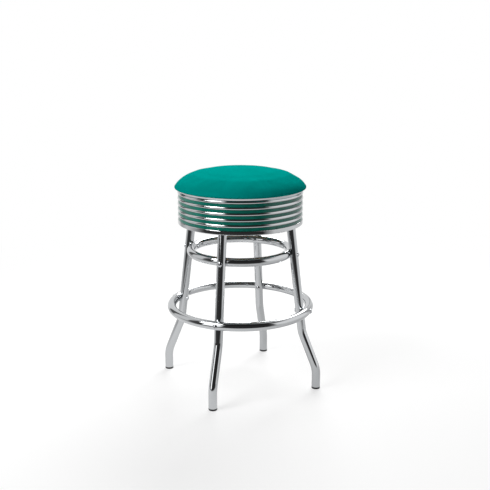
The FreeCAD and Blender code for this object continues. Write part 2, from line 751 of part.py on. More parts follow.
base_blank = revolved("base_blank", [
    (base_hole_radius, base_bottom),
    (base_radius, base_bottom),
    (base_radius, base_top),
    (base_hole_radius, base_top),
])
plate_screw_circle = plate_screw_offset * math.sqrt(2)
plate_pilot = upright("plate_pilot", plate_screw_radius + screw_clearance,
                      plate_screw_length + screw_clearance, upper_plate_bottom, plate_screw_circle)
plate_pilots = around("plate_pilots", plate_pilot, 4, 45)
band_pilot = upright("band_pilot", band_screw_radius + screw_clearance,
                     band_screw_length + band_wall + screw_clearance, ledge_bottom - band_wall,
                     band_screw_circle)
half_step = 180 / band_screw_count
band_pilots = around("band_pilots", band_pilot, band_screw_count, half_step)
pilots = group_of("pilots", plate_pilots, band_pilots)
node(cut("seat_base", base_blank, pilots), "seat_base")


def pan_screw(name, head_radius, head_height, shank_radius, length, across, bearing):
    """A wood screw driven upward, its pan head under the face at the height bearing."""
    head = upright(name + "_head", head_radius, head_height, bearing - head_height, across)
    shank = upright(name + "_shank", shank_radius, length, bearing, across)
    return fuse(name, head, shank)


plate_screw = pan_screw("plate_screw", plate_screw_head, plate_screw_head_height,
                        plate_screw_radius, plate_screw_length, plate_screw_circle,
                        upper_plate_bottom)
node(around("plate_screws", plate_screw, 4, 45), "plate_screws")
band_screw = pan_screw("band_screw", band_screw_head, band_screw_head_height,
                       band_screw_radius, band_screw_length, band_screw_circle, ledge_bottom)
node(around("band_screws", band_screw, band_screw_count, half_step), "band_screws")


# Cushion: a domed foam pad with a rounded rim over the band's lip, and the vinyl drawn over it


def cushion_outline(body, inset, lower_corners):
    """The domed outline in the XZ plane: three arcs that run into each other without a kink.

    The arcs are the shallow crown, the shoulder and the rim down to the widest part. Below it a
    small quarter round leads to the corners that are handed in, from the underside to the axis.
    """
    sketch = new_sketch(body, "XZ_Plane")
    widest = cushion_radius - inset
    widest_height = band_top + cushion_bulge_rise
    tuck = cushion_bulge_rise - inset
    top = crown_top - inset
    shoulder = shoulder_bend - inset
    rim = rim_bend - inset
    edge = crown_edge_radius
    rim_centre = Vector(widest.value - rim.value, widest_height.value, 0)
    diagonal = Vector(1, 1, 0).normalize()
    rim_start = rim_centre + diagonal * rim.value
    shoulder_centre = rim_centre - diagonal * (shoulder - rim).value
    slope = math.asin((edge.value - shoulder_centre.x) / shoulder.value)
    crown_start = shoulder_centre + Vector(math.sin(slope), math.cos(slope), 0) * shoulder.value
    sag = top.value - crown_start.y
    crown_radius = (edge.value ** 2 + sag ** 2) / (2 * sag)
    crown_centre = Vector(0, top.value - crown_radius, 0)

    def arc(middle, radius, first, last):
        begin = math.atan2(first.y - middle.y, first.x - middle.x)
        end = math.atan2(last.y - middle.y, last.x - middle.x)
        ring = Part.Circle(middle, Vector(0, 0, 1), radius)
        return sketch.addGeometry(Part.ArcOfCircle(ring, begin, end))

    peak = Vector(0, top.value, 0)
    rim_end = Vector(widest.value, widest_height.value, 0)
    crown = arc(crown_centre, crown_radius, crown_start, peak)
    bend = arc(shoulder_centre, shoulder.value, rim_start, crown_start)
    edge_arc = arc(rim_centre, rim.value, rim_end, rim_start)
    tuck_centre = rim_end - Vector(tuck.value, 0, 0)
    under = arc(tuck_centre, tuck.value, tuck_centre - Vector(0, tuck.value, 0), rim_end)

    tie_point(sketch, crown, 2, None, top)
    sketch.addConstraint(Sketcher.Constraint("PointOnObject", crown, 3, -2))
    sketch.addConstraint(Sketcher.Constraint("Tangent", crown, 1, bend, 2))
    sketch.addConstraint(Sketcher.Constraint("Tangent", bend, 1, edge_arc, 2))
    sketch.addConstraint(Sketcher.Constraint("Tangent", edge_arc, 1, under, 2))
    tie(sketch, "DistanceX", -1, 1, crown, 1, edge)
    tie(sketch, "Radius", bend, shoulder)
    tie(sketch, "Radius", edge_arc, rim)
    tie(sketch, "Radius", under, tuck)
    tie_point(sketch, edge_arc, 1, widest, widest_height)
    sketch.addConstraint(Sketcher.Constraint("Vertical", under, 1, under, 3))

    before, before_end = under, 1
    start = tuck_centre - Vector(0, tuck.value, 0)
    for corner in lower_corners + [(None, lower_corners[-1][1])]:
        index = sketch.addGeometry(Part.LineSegment(start, spot(*corner)))
        sketch.addConstraint(Sketcher.Constraint("Coincident", before, before_end, index, 1))
        if corner is lower_corners[0]:
            sketch.addConstraint(Sketcher.Constraint("Horizontal", index))
            tie(sketch, "DistanceX", -1, 1, index, 2, corner[0])
        else:
            tie_point(sketch, index, 2, *corner)
        before, before_end = index, 2
        start = spot(*corner)
    last = sketch.addGeometry(Part.LineSegment(start, peak))
    sketch.addConstraint(Sketcher.Constraint("Coincident", before, before_end, last, 1))
    sketch.addConstraint(Sketcher.Constraint("Coincident", crown, 2, last, 2))
    return revolve(body, sketch)


flush = Size(0, "0")
cover_side = base_radius + vinyl
cover_outside = cushion_outline(doc.addObject("PartDesign::Body", "cover_outside"), flush, [
    (cover_side, band_top),
    (cover_side, hem_bottom),
    (hem_inner_radius, hem_bottom),
    (hem_inner_radius, base_bottom),
])
cover_inside = cushion_outline(doc.addObject("PartDesign::Body", "cover_inside"), vinyl, [
    (base_radius, band_top + vinyl),
    (base_radius, base_bottom),
])
cover_shell = cut("cover_shell", cover_outside, cover_inside)
node(cut("seat_cover", cover_shell, band_pilots), "seat_cover")
foam = cushion_outline(doc.addObject("PartDesign::Body", "foam"), vinyl, [
    (base_radius, band_top + vinyl),
    (base_radius, base_top),
])
node(foam, "seat_foam")


# Staples: flat wire staples that hold the vinyl's hem to the plywood

staple = doc.addObject("PartDesign::Body", "staple")
staple_sketch = new_sketch(staple, "YZ_Plane", staple_circle)
half_crown = staple_width / 2
outline(staple_sketch, [
    (-half_crown, hem_bottom - staple_wire),
    (half_crown, hem_bottom - staple_wire),
    (half_crown, hem_bottom + staple_depth),
    (half_crown - staple_wire, hem_bottom + staple_depth),
    (half_crown - staple_wire, hem_bottom),
    (staple_wire - half_crown, hem_bottom),
    (staple_wire - half_crown, hem_bottom + staple_depth),
    (-half_crown, hem_bottom + staple_depth),
])
staple_pad = staple.newObject("PartDesign::Pad", "staple_pad")
staple_pad.Profile = staple_sketch
bind(staple_pad, Length=staple_wire)
node(around("cover_staples", staple, staple_count), "cover_staples")


# Band: a rolled chrome strip with a flared lip and five grooves between round ribs

rib_half = rib_height / 2
rib_bend = (rib_half * rib_half + rib_depth * rib_depth) / (rib_depth * 2)
band_corners = [
    (band_inside, band_bottom),
    (band_radius - strip_edge, band_bottom, strip_edge, 1),
    (band_radius, band_bottom + strip_edge),
    (band_radius, ribs_bottom - strip_edge, strip_edge, 1),
    (band_radius - strip_edge, ribs_bottom),
]
for number in range(groove_count):
    groove_bottom = ribs_bottom + (rib_height + groove_height) * number
    rib_bottom = groove_bottom + groove_height
    band_corners.append((groove_floor, groove_bottom))
    band_corners.append((groove_floor, rib_bottom, rib_bend, 1))
band_corners += [
    (groove_floor, ribs_top),
    (lip_radius, band_top - lip_edge, lip_edge, 1),
    (lip_radius - lip_edge, band_top),
    (lip_radius - band_wall, band_top),
    (band_inside, ribs_top),
]
node(revolved("band", band_corners), "band")

# Ledge: a rolled steel angle spot welded inside the band, which the plywood is screwed to

ledge_side = band_inside - band_wall
ledge_blank = revolved("ledge_blank", [
    (band_inside - ledge_width, ledge_bottom),
    (ledge_side, ledge_bottom),
    (ledge_side, hem_bottom - ledge_flange),
    (band_inside, hem_bottom - ledge_flange),
    (band_inside, hem_bottom),
    (band_inside - ledge_width, hem_bottom),
])
node(cut("band_ledge", ledge_blank, band_pilots), "band_ledge")

# Inlays: a green strip laid into each groove, counted from the top

for number in range(groove_count):
    inlay_bottom = ribs_bottom + (rib_height + groove_height) * number + inlay_clearance
    inlay_top = inlay_bottom + groove_height - inlay_clearance * 2
    label = "band_stripe_" + str(groove_count - number)
    node(revolved(label, [
        (groove_floor, inlay_bottom),
        (groove_floor + inlay_thickness, inlay_bottom),
        (groove_floor + inlay_thickness, inlay_top),
        (groove_floor, inlay_top),
    ]), label)


doc.recompute()

for thing in doc.Objects:
    if "Invalid" in thing.State or "Error" in thing.State:
        raise RuntimeError(thing.Label + " failed: " + ", ".join(thing.State))
for thing in sub_parts:
    if thing.Shape.isNull() or not thing.Shape.isValid():
        raise RuntimeError(thing.Label + " has no valid shape")

os.makedirs("parts", exist_ok=True)
for thing in sub_parts:
    thing.Shape.exportStep("parts/" + thing.Label + ".step")
    box = thing.Shape.BoundBox
    print(thing.Label, len(thing.Shape.Solids), "solid(s)", round(thing.Shape.Volume), "mm3,",
          "x", round(box.XMin, 1), round(box.XMax, 1), "z", round(box.ZMin, 1), round(box.ZMax, 1))
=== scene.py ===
import math

import bmesh
import bpy
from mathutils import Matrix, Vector, noise


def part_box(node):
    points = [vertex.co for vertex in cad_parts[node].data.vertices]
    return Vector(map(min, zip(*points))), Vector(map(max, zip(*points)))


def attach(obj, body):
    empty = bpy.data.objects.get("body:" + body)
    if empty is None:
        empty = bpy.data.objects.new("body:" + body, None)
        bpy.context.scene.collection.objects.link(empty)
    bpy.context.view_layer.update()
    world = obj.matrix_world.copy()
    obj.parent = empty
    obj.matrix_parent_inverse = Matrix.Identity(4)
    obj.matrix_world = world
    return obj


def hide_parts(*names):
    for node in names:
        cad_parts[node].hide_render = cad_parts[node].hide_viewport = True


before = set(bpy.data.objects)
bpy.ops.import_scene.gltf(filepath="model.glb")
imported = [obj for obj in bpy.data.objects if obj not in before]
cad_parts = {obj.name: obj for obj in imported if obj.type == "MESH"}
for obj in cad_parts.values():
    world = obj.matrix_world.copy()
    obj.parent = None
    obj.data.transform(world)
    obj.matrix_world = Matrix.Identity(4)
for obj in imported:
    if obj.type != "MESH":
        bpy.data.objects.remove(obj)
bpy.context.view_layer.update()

# Legs: four bent steel tubes with an arm on top that runs in under the swivel.
# Drawn steel tube, bent cold, polished and then plated with nickel and chromium.


def linear(hex_colour):
    """An sRGB hex colour as the linear colour that a shader reads."""
    channels = [int(hex_colour[i:i + 2], 16) / 255 for i in (1, 3, 5)]
    return tuple(c / 12.92 if c <= 0.04045 else ((c + 0.055) / 1.055) ** 2.4 for c in channels) + (1.0,)


def add_node(tree, kind, inputs, **settings):
    """Adds a shader node. An input is a plain value, or the output that feeds it."""
    node = tree.nodes.new("ShaderNode" + kind)
    for name, value in settings.items():
        setattr(node, name, value)
    for name, value in inputs.items():
        if isinstance(value, bpy.types.NodeSocket):
            tree.links.new(value, node.inputs[name])
        else:
            node.inputs[name].default_value = value
    return node


def new_material(name, base, roughness, metallic=0.0):
    """A material with one shader, and the place on the object that its patterns read."""
    material = bpy.data.materials.new(name)
    material.use_nodes = True
    tree = material.node_tree
    tree.nodes.clear()
    shader = add_node(tree, "BsdfPrincipled", {
        "Base Color": linear(base), "Roughness": roughness, "Metallic": metallic})
    add_node(tree, "OutputMaterial", {"Surface": shader.outputs["BSDF"]})
    place = add_node(tree, "TexCoord", {}).outputs["Object"]
    return material, tree, shader, place


def dress(material, *names):
    """Gives CAD nodes their material."""
    for name in names:
        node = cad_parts[name]
        node.data.materials.clear()
        node.data.materials.append(material)


def chrome(name, base, polish_grain):
    """Bright chromium plate, a cool grey mirror that the polished steel under it breaks a little."""
    material, tree, shader, place = new_material(name, base, 0.06, 1.0)
    haze = add_node(tree, "TexNoise", {"Vector": place, "Scale": 1000 / 35, "Detail": 4.0})
    roughness = add_node(tree, "MapRange", {
        "Value": haze.outputs["Fac"], "From Min": 0.3, "From Max": 0.75, "To Min": 0.035, "To Max": 0.1})
    tree.links.new(roughness.outputs["Result"], shader.inputs["Roughness"])
    polish = add_node(tree, "TexNoise", {"Vector": place, "Scale": 1000 / polish_grain, "Detail": 3.0})
    bump = add_node(tree, "Bump", {
        "Strength": 0.12, "Distance": 0.0002, "Height": polish.outputs["Fac"]})
    tree.links.new(bump.outputs["Normal"], shader.inputs["Normal"])
    return material


sides = ("right", "back", "left", "front")
tube_chrome = chrome("chrome_plated_tube", "#C6C8CA", 14)
dress(tube_chrome, *["leg_" + side for side in sides])

# Glides: black polyethylene plugs pushed into the feet, so that the tube doesn't scratch a floor.
# Injection moulded, with a fine eroded texture.

glide_plastic, tree, shader, place = new_material("moulded_polyethylene", "#17181A", 0.5)
grit = add_node(tree, "TexNoise", {"Vector": place, "Scale": 1000 / 0.6, "Detail": 2.0})
bump = add_node(tree, "Bump", {"Strength": 0.25, "Distance": 0.0001, "Height": grit.outputs["Fac"]})
tree.links.new(bump.outputs["Normal"], shader.inputs["Normal"])
scuffs = add_node(tree, "TexNoise", {"Vector": place, "Scale": 1000 / 6, "Detail": 5.0})
scuffed = add_node(tree, "ValToRGB", {"Fac": scuffs.outputs["Fac"]})
scuffed.color_ramp.elements[0].position = 0.5
scuffed.color_ramp.elements[0].color = linear("#151618")
scuffed.color_ramp.elements[1].position = 0.75
scuffed.color_ramp.elements[1].color = linear("#2C2D30")
tree.links.new(scuffed.outputs["Color"], shader.inputs["Base Color"])
dress(glide_plastic, *["glide_" + side for side in sides])

# Rings: an upper ring inside the legs and a foot ring outside them.
# The same tube bent to a full circle, butt welded, ground and plated.

dress(tube_chrome, "upper_ring", "foot_ring")

# Ring bolts and sleeve nuts: dome heads on both faces of each crossing.
# Turned steel with a pressed hexagon socket, chromium plated.

dress(chrome("chrome_plated_bolt", "#C4C6C9", 5), "upper_ring_bolts", "upper_ring_sleeve_nuts",
      "foot_ring_bolts", "foot_ring_sleeve_nuts")

# Swivel plates: the fixed lower plate and the turning upper plate, each with a raised race.
# Pressed steel sheet with black powder coat, which cures to a fine orange peel.

plate_paint, tree, shader, place = new_material("black_powder_coat", "#1A1B1D", 0.42)
peel = add_node(tree, "TexNoise", {"Vector": place, "Scale": 1000 / 1.6, "Detail": 1.0})
bump = add_node(tree, "Bump", {"Strength": 0.3, "Distance": 0.0002, "Height": peel.outputs["Fac"]})
tree.links.new(bump.outputs["Normal"], shader.inputs["Normal"])
dust = add_node(tree, "TexNoise", {"Vector": place, "Scale": 1000 / 25, "Detail": 6.0})
dusty = add_node(tree, "MapRange", {
    "Value": dust.outputs["Fac"], "From Min": 0.35, "From Max": 0.7, "To Min": 0.36, "To Max": 0.55})
tree.links.new(dusty.outputs["Result"], shader.inputs["Roughness"])
dress(plate_paint, "swivel_lower_plate", "swivel_upper_plate")

# Arm bolts, washers and nuts, the pivot bolt with its nuts, and the wood screws.
# Steel with bright zinc plate, which has a faint bluish bloom.

zinc_plate, tree, shader, place = new_material("bright_zinc_plate", "#B4B8BC", 0.3, 1.0)
bloom = add_node(tree, "TexNoise", {"Vector": place, "Scale": 1000 / 4, "Detail": 4.0})
bloomed = add_node(tree, "ValToRGB", {"Fac": bloom.outputs["Fac"]})
bloomed.color_ramp.elements[0].position = 0.35
bloomed.color_ramp.elements[0].color = linear("#A5ABB3")
bloomed.color_ramp.elements[1].position = 0.7
bloomed.color_ramp.elements[1].color = linear("#C6C5BE")
tree.links.new(bloomed.outputs["Color"], shader.inputs["Base Color"])
tool_marks = add_node(tree, "TexNoise", {"Vector": place, "Scale": 1000 / 0.8, "Detail": 2.0})
bump = add_node(tree, "Bump", {"Strength": 0.15, "Distance": 0.0001, "Height": tool_marks.outputs["Fac"]})
tree.links.new(bump.outputs["Normal"], shader.inputs["Normal"])
dress(zinc_plate, "arm_bolts", "arm_washers", "arm_nuts", "pivot_bolt", "pivot_jam_nut", "pivot_washer",
      "pivot_lock_nut", "plate_screws", "band_screws")

# Ball cage: a flat ring with a hole for each ball, injection moulded in undyed nylon.
# Nylon is slightly milky, and grease darkens it in patches.

cage_plastic, tree, shader, place = new_material("moulded_nylon", "#DAD4C3", 0.45)
grease = add_node(tree, "TexNoise", {"Vector": place, "Scale": 1000 / 18, "Detail": 4.0})
greased = add_node(tree, "ValToRGB", {"Fac": grease.outputs["Fac"]})
greased.color_ramp.elements[0].position = 0.4
greased.color_ramp.elements[0].color = linear("#DCD6C6")
greased.color_ramp.elements[1].position = 0.75
greased.color_ramp.elements[1].color = linear("#A8997A")
tree.links.new(greased.outputs["Color"], shader.inputs["Base Color"])
shader.inputs["Subsurface Weight"].default_value = 0.15
shader.inputs["Subsurface Radius"].default_value = (0.002, 0.002, 0.0015)
dress(cage_plastic, "swivel_ball_cage")

# Balls: the full ring of bearing balls that rolls between the two races.
# Hardened chrome steel, ground and lapped to a mirror, with a film of grease.

ball_steel, tree, shader, place = new_material("lapped_ball_steel", "#C4C6C9", 0.08, 1.0)
film = add_node(tree, "TexNoise", {"Vector": place, "Scale": 1000 / 3, "Detail": 3.0})
smeared = add_node(tree, "MapRange", {
    "Value": film.outputs["Fac"], "From Min": 0.4, "From Max": 0.7, "To Min": 0.05, "To Max": 0.25})
tree.links.new(smeared.outputs["Result"], shader.inputs["Roughness"])
dress(ball_steel, "swivel_balls")

# Seat base: a disc of birch plywood, 15 mm thick, its rim covered by the vinyl.
# The underside shows rotary-cut face veneer: long broad figure with fine darker pores.

plywood, tree, shader, place = new_material("birch_plywood", "#CDA876", 0.6)
along_grain = add_node(tree, "Mapping", {"Vector": place, "Scale": (0.12, 1.0, 1.0)})
figure = add_node(tree, "TexNoise", {
    "Vector": along_grain.outputs["Vector"], "Scale": 1000 / 22, "Detail": 5.0, "Distortion": 1.2})
figured = add_node(tree, "ValToRGB", {"Fac": figure.outputs["Fac"]})
figured.color_ramp.elements[0].position = 0.3
figured.color_ramp.elements[0].color = linear("#B98D58")
figured.color_ramp.elements[1].position = 0.7
figured.color_ramp.elements[1].color = linear("#DBBC8B")
pores = add_node(tree, "TexNoise", {
    "Vector": along_grain.outputs["Vector"], "Scale": 1000 / 1.2, "Detail": 2.0})
pored = add_node(tree, "MapRange", {
    "Value": pores.outputs["Fac"], "From Min": 0.55, "From Max": 0.75, "To Min": 0.0, "To Max": 0.45})
veneer = add_node(tree, "Mix", {
    "Factor": pored.outputs["Result"], 6: figured.outputs["Color"], 7: linear("#8A6238")}, data_type="RGBA")
tree.links.new(veneer.outputs[2], shader.inputs["Base Color"])
bump = add_node(tree, "Bump", {"Strength": 0.3, "Distance": 0.0002, "Height": pores.outputs["Fac"]})
tree.links.new(bump.outputs["Normal"], shader.inputs["Normal"])
dress(plywood, "seat_base")

# Cushion: a domed foam pad with smooth vinyl drawn tight over it and down behind the band's lip.
# The vinyl is a PVC coating on knitted backing: nearly matt, with a leather grain too fine to read.

base_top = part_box("seat_base")[1].z
base_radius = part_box("seat_base")[1].x
base_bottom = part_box("seat_base")[0].z
band_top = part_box("band")[1].z
vinyl_thickness = 0.0012
cushion_side = base_radius + vinyl_thickness
cushion_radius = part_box("seat_cover")[1].x
cushion_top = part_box("seat_cover")[1].z


def spun(name, profile, steps):
    """A mesh made by turning a profile, given as distances from the axis and heights, about the axis."""
    shape = bmesh.new()
    line = [shape.verts.new((across, 0, up)) for across, up in profile]
    for first, second in zip(line, line[1:]):
        shape.edges.new((first, second))
    bmesh.ops.spin(shape, geom=shape.verts[:] + shape.edges[:], cent=(0, 0, 0), axis=(0, 0, 1),
                   angle=2 * math.pi, steps=steps, use_merge=True)
    bmesh.ops.remove_doubles(shape, verts=shape.verts[:], dist=0.00001)
    bmesh.ops.recalc_face_normals(shape, faces=shape.faces[:])
    mesh = bpy.data.meshes.new(name)
    shape.to_mesh(mesh)
    shape.free()
    for face in mesh.polygons:
        face.use_smooth = True
    piece = bpy.data.objects.new(name, mesh)
    bpy.context.scene.collection.objects.link(piece)
    return piece


# Distances from the axis and heights above the plywood, in millimetres, down the pad's outside
pad_profile = [
    (0, 61.5), (40, 60.9), (80, 59.0), (105, 56.4), (120, 52.0), (140, 48.7), (160, 42.2), (175, 34.3),
    (185, 26.0), (190, 19.7), (193, 13.5), (194, 10.0), (193.6, 8.4), (192.5, 7.2), (190, 6.2),
    (177.5, 6.2), (177.5, 0.3), (0, 0.3),
]
pad_steps = 128
skin_mesh = 0.005
held_above_lip = 0.001
swell_frames = 20
swell_reach = 0.003
smoothed_above_lip = 0.006
widened_above_lip = 0.004
lip_clearance = 0.0003


def firm_up(piece):
    """Turns what a piece's modifiers make of it into its own mesh."""
    shown = piece.evaluated_get(bpy.context.evaluated_depsgraph_get())
    finished = bpy.data.meshes.new_from_object(shown)
    piece.modifiers.clear()
    piece.data = finished


def swell(piece, reach):
    """Lets the pad's skin swell out tight like drawn vinyl, each point by no more than its reach."""
    even = piece.modifiers.new("even_mesh", "REMESH")
    even.mode = "VOXEL"
    even.voxel_size = skin_mesh
    firm_up(piece)
    start = [point.co.copy() for point in piece.data.vertices]
    held = piece.vertex_groups.new(name="held_behind_the_lip")
    behind_lip = [point.index for point in piece.data.vertices if point.co.z < band_top + held_above_lip]
    held.add(behind_lip, 1.0, "REPLACE")
    skin = piece.modifiers.new("drawn_vinyl", "CLOTH")
    skin.settings.use_pressure = True
    skin.settings.uniform_pressure_force = 4.0
    skin.settings.effector_weights.gravity = 0.0
    skin.settings.vertex_group_mass = held.name
    for number in range(1, swell_frames + 1):
        bpy.context.scene.frame_set(number)
    firm_up(piece)
    bpy.context.scene.frame_set(1)
    for point, before in zip(piece.data.vertices, start):
        moved = point.co - before
        if moved.length > reach:
            point.co = before + moved * (reach / moved.length)
    piece.vertex_groups.clear()


pad_line = [(across / 1000, base_top + up / 1000) for across, up in pad_profile]
cushion = spun("seat_cushion", pad_line, pad_steps)
swell(cushion, swell_reach)
shape = bmesh.new()
shape.from_mesh(cushion.data)
for turn in range(4):
    free = [point for point in shape.verts if point.co.z > band_top + smoothed_above_lip]
    bmesh.ops.smooth_vert(shape, verts=free, factor=0.5, use_axis_x=True, use_axis_y=True, use_axis_z=True)
widest = max(math.hypot(point.co.x, point.co.y) for point in shape.verts)
highest = max(point.co.z for point in shape.verts)
# The swollen pad is brought back to its stated width and height, and kept off the band's lip.
for point in shape.verts:
    above = max(0.0, point.co.z - band_top)
    widened = min(1.0, above / widened_above_lip)
    point.co.xy = point.co.xy * (1 + widened * (cushion_radius / widest - 1))
    point.co.z -= above * (highest - cushion_top) / (highest - band_top)
    across = math.hypot(point.co.x, point.co.y)
    if across > cushion_side and point.co.z < band_top + lip_clearance:
        point.co.z = band_top + lip_clearance
    if point.co.z < band_top and across > cushion_side - lip_clearance:
        point.co.xy = point.co.xy * ((cushion_side - lip_clearance) / across)
shape.to_mesh(cushion.data)
shape.free()
for face in cushion.data.polygons:
    face.use_smooth = True
fine = cushion.modifiers.new("fine_skin", "SUBSURF")
fine.levels = fine.render_levels = 1

seat_vinyl, tree, shader, place = new_material("smooth_seat_vinyl", "#009A92", 0.34, 0.012)
shader.inputs["Specular IOR Level"].default_value = 0.0
shader.inputs["Specular Tint"].default_value = linear("#10C8BC")
tone = add_node(tree, "TexNoise", {"Vector": place, "Scale": 1000 / 90, "Detail": 3.0})
toned = add_node(tree, "ValToRGB", {"Fac": tone.outputs["Fac"]})
toned.color_ramp.elements[0].position = 0.3
toned.color_ramp.elements[0].color = linear("#00958D")
toned.color_ramp.elements[1].position = 0.7
toned.color_ramp.elements[1].color = linear("#009E96")
tree.links.new(toned.outputs["Color"], shader.inputs["Base Color"])
pebble = add_node(tree, "TexVoronoi", {"Vector": place, "Scale": 1000 / 1.3})
rub = add_node(tree, "TexNoise", {"Vector": place, "Scale": 1000 / 40, "Detail": 4.0})
rubbed = add_node(tree, "MapRange", {
    "Value": rub.outputs["Fac"], "From Min": 0.3, "From Max": 0.7, "To Min": 0.32, "To Max": 0.42})
tree.links.new(rubbed.outputs["Result"], shader.inputs["Roughness"])
bump = add_node(tree, "Bump", {"Strength": 0.12, "Distance": 0.0001, "Height": pebble.outputs["Distance"]})
tree.links.new(bump.outputs["Normal"], shader.inputs["Normal"])
cushion.data.materials.append(seat_vinyl)
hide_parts("seat_cover", "seat_foam")
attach(cushion, "seat")

# Cover hem: the vinyl's edge, drawn down the plywood's rim and turned in under it.
# Between the staples the slack of the round edge gathers in small radial pleats.

hem_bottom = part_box("seat_cover")[0].z
hem_top = band_top - 0.0002
hem_inside = 0.14
hem_corner = 0.0006
hem_rings = 16
hem_steps = 480
staple_count = 24
pleat_outside = 0.157
pleat_depth = 0.0016
pleat_run_out = 0.01
turned_in = cushion_side - hem_corner
hem_profile = [(cushion_side, hem_top), (cushion_side, hem_bottom + hem_corner), (turned_in, hem_bottom)]
hem_profile += [(turned_in - (turned_in - hem_inside) * ring / hem_rings, hem_bottom)
                for ring in range(1, hem_rings + 1)]
hem_profile += [(hem_inside, base_bottom), (base_radius, base_bottom), (base_radius, hem_top),
                (cushion_side, hem_top)]
hem = spun("cover_hem", hem_profile, hem_steps)
for point in hem.data.vertices:
    across = math.hypot(point.co.x, point.co.y)
    if point.co.z < hem_bottom + 0.0002 and across < pleat_outside:
        turn = math.atan2(point.co.y, point.co.x)
        between = (0.5 - 0.5 * math.cos(staple_count * turn)) ** 2
        uneven = 0.6 + noise.noise(Vector((math.cos(turn), math.sin(turn), 0)) * 9)
        fade = min(1.0, (pleat_outside - across) / pleat_run_out)
        point.co.z -= pleat_depth * between * max(0.0, uneven) * fade
hem.data.materials.append(seat_vinyl)
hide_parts("seat_cover")
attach(hem, "seat")

# Staples: fine wire staples through the hem into the plywood.
# Galvanised steel wire, with the small dull crystals of a zinc coat.

staple_steel, tree, shader, place = new_material("galvanised_wire", "#9FA3A8", 0.38, 1.0)
spangle = add_node(tree, "TexVoronoi", {"Vector": place, "Scale": 1000 / 0.7})
spangled = add_node(tree, "ValToRGB", {"Fac": spangle.outputs["Distance"]})
spangled.color_ramp.elements[0].color = linear("#8F949A")
spangled.color_ramp.elements[1].color = linear("#B3B6BA")
tree.links.new(spangled.outputs["Color"], shader.inputs["Base Color"])
dress(staple_steel, "cover_staples")

# Band: a strip of sheet steel rolled with five grooves and a flared lip, then bent round and welded.
# Chromium plated like the tubes, with the long soft waves of rolled sheet.

dress(chrome("chrome_plated_sheet", "#C8CACC", 22), "band")

# Ledge: a rolled steel angle, spot welded inside the band, that the plywood lies on.
# Zinc plated like the bolts.

dress(zinc_plate, "band_ledge")

# Inlays: five strips of green vinyl laid into the band's grooves.
# Calendered strip with a high gloss, so the ribs above and below show in it.

inlay_vinyl, tree, shader, place = new_material("gloss_inlay_vinyl", "#0B7F6F", 0.16)
ripple = add_node(tree, "TexNoise", {"Vector": place, "Scale": 1000 / 30, "Detail": 2.0})
bump = add_node(tree, "Bump", {"Strength": 0.2, "Distance": 0.0003, "Height": ripple.outputs["Fac"]})
tree.links.new(bump.outputs["Normal"], shader.inputs["Normal"])
tint = add_node(tree, "ValToRGB", {"Fac": ripple.outputs["Fac"]})
tint.color_ramp.elements[0].position = 0.3
tint.color_ramp.elements[0].color = linear("#0A7666")
tint.color_ramp.elements[1].position = 0.7
tint.color_ramp.elements[1].color = linear("#128775")
tree.links.new(tint.outputs["Color"], shader.inputs["Base Color"])
dress(inlay_vinyl, *["band_stripe_" + str(number) for number in range(1, 6)])

# Studio: a pale floor and backdrop, a soft box at the left front and a larger one behind the stool.
# The chrome shows what stands round it: bright walls at the sides and the dark room behind the camera.

scene = bpy.context.scene
scene.view_settings.view_transform = "Standard"
camera_azimuth = 18.9
camera_turn = math.radians(camera_azimuth)
stool_middle = Vector((0, 0, 0.45))
floor_reach = 30

# Azimuths as the camera sees them, 0 towards it and growing to the right, with the brightness there
room = [
    (-180, 0.9), (-143, 0.9), (-139, 0.12), (-124, 0.12), (-120, 0.85), (-88, 0.85), (-84, 0.1), (-61, 0.06),
    (-58, 1.9), (-34, 1.9), (-26, 0.03), (52, 0.03), (58, 1.05), (122, 1.05), (130, 0.4), (166, 0.4),
    (172, 0.9), (180, 0.9),
]
# The paper round the stool, duller on the side its shadow falls, and the floor beyond it
near_floor = [
    (-180, 0.74), (-120, 0.88), (-60, 0.95), (0, 0.84), (45, 0.74), (90, 0.64), (135, 0.68), (180, 0.74),
]
far_floor = [
    (-180, 0.95), (-145, 0.9), (-130, 0.5), (-110, 0.8), (-85, 0.45), (-66, 0.05), (40, 0.03), (62, 0.8),
    (110, 0.9), (150, 0.7), (180, 0.95),
]


def level_round(tree, place, levels):
    """The brightness of the studio in the direction of place, from levels listed by azimuth."""
    split = add_node(tree, "SeparateXYZ", {"Vector": place})
    ahead = add_node(tree, "Math", {0: split.outputs["Y"], 1: -1.0}, operation="MULTIPLY")
    angle = add_node(tree, "Math", {0: split.outputs["X"], 1: ahead.outputs[0]}, operation="ARCTAN2")
    share = add_node(tree, "MapRange", {"Value": angle.outputs[0], "From Min": -math.pi, "From Max": math.pi})
    walls = add_node(tree, "ValToRGB", {"Fac": share.outputs["Result"]})
    stops = sorted(((azimuth + camera_azimuth + 180) % 360 / 360, level)
                   for azimuth, level in levels[1:-1])
    seam = levels[0][1]
    walls.color_ramp.elements[0].color = walls.color_ramp.elements[1].color = (seam, seam, seam, 1)
    for position, level in stops:
        walls.color_ramp.elements.new(position).color = (level, level, level, 1)
    return walls.outputs["Color"]


def room_level(tree, place):
    """The walls' brightness, and overhead that of the ceiling, which is dark on the camera's side."""
    walls = level_round(tree, place, room)
    behind = add_node(tree, "VectorMath", {
        0: place, 1: (-math.sin(camera_turn), math.cos(camera_turn), 0)}, operation="DOT_PRODUCT")
    ceiling = add_node(tree, "MapRange", {
        "Value": behind.outputs["Value"], "From Min": -0.1, "From Max": 0.3, "To Min": 0.02, "To Max": 0.95})
    split = add_node(tree, "SeparateXYZ", {"Vector": place})
    raised = add_node(tree, "MapRange", {"Value": split.outputs["Z"], "From Min": 0.55, "From Max": 0.8})
    joined = add_node(tree, "Mix", {
        "Factor": raised.outputs["Result"], 6: walls, 7: ceiling.outputs["Result"]}, data_type="RGBA")
    return joined.outputs[2]


